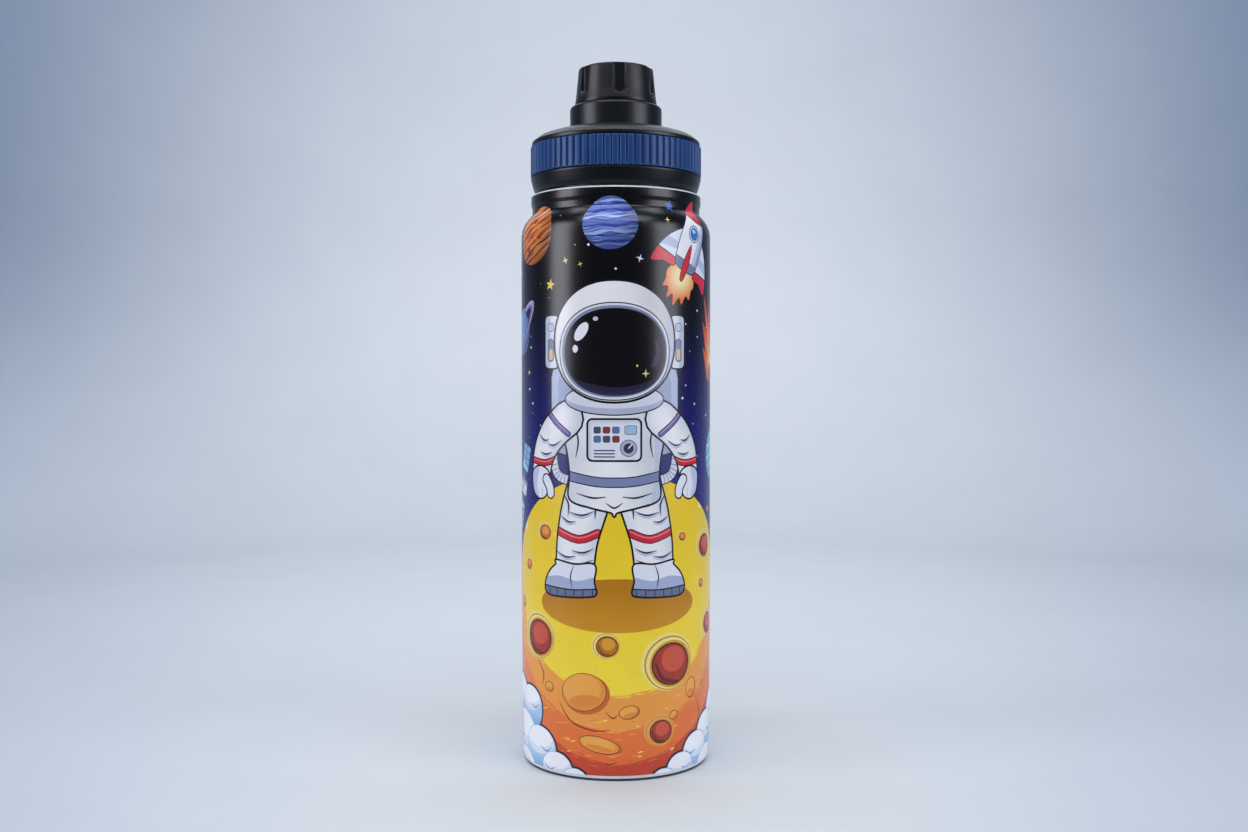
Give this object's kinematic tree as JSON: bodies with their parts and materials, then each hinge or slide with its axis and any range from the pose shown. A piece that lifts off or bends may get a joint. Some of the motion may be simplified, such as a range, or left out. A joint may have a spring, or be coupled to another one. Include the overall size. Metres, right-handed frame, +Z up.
{
  "type": "kids water bottle",
  "caption": "Tall insulated drinking bottle for a child, with a printed steel body, a screw lid with a ribbed grip ring and a drinking spout under its own small screw cap.",
  "frame": {"origin": "centre of the foot ring's underside, on the surface that the bottle stands on", "axes": "+Z up along the bottle's axis, -Y towards the front of the print"},
  "size_m": [0.073, 0.073, 0.2658],
  "materials": {
    "coated_steel": "satin",
    "bare_steel": "satin",
    "solder": "satin",
    "black_plastic": "satin",
    "blue_plastic": "satin",
    "grey_rubber": "matte",
    "silicone": "matte",
    "foam": "matte"
  },
  "bodies": {
    "bottle": {"outer_shell": "coated_steel", "inner_liner": "bare_steel", "liner_base": "bare_steel", "base_plate": "bare_steel", "vacuum_seal_bead": "solder", "seal_cover": "bare_steel", "getter": "solder", "foot_ring": "grey_rubber"},
    "lid_carrier": {"lid_seal": "silicone"},
    "lid": {"lid_inner": "black_plastic", "lid_insulation": "foam", "lid_shell": "black_plastic", "grip_ring": "blue_plastic", "skirt_ring": "black_plastic", "spout": "black_plastic", "spout_gasket": "silicone"},
    "cap_carrier": {"cap_seal": "silicone"},
    "cap": {"spout_cap": "black_plastic"}
  },
  "joints": [
    {"name": "lid_rise", "type": "slide", "parent": "bottle", "child": "lid_carrier", "axis": [0, 0, 1], "range_m": [0, 0.02405]},
    {"name": "lid_turn", "type": "hinge", "parent": "lid_carrier", "child": "lid", "pos_m": [0, 0, 0.225], "axis": [0, 0, 1], "range_deg": [0, 1080]},
    {"name": "cap_rise", "type": "slide", "parent": "lid", "child": "cap_carrier", "axis": [0, 0, 1], "range_m": [0, 0.01805]},
    {"name": "cap_turn", "type": "hinge", "parent": "cap_carrier", "child": "cap", "pos_m": [0, 0, 0.258], "axis": [0, 0, 1], "range_deg": [0, 1080]}
  ],
  "couplings": [
    {"joint": "lid_rise", "follows": "lid_turn", "m_per_rad": 0.0012732},
    {"joint": "cap_rise", "follows": "cap_turn", "m_per_rad": 0.00095493}
  ]
}
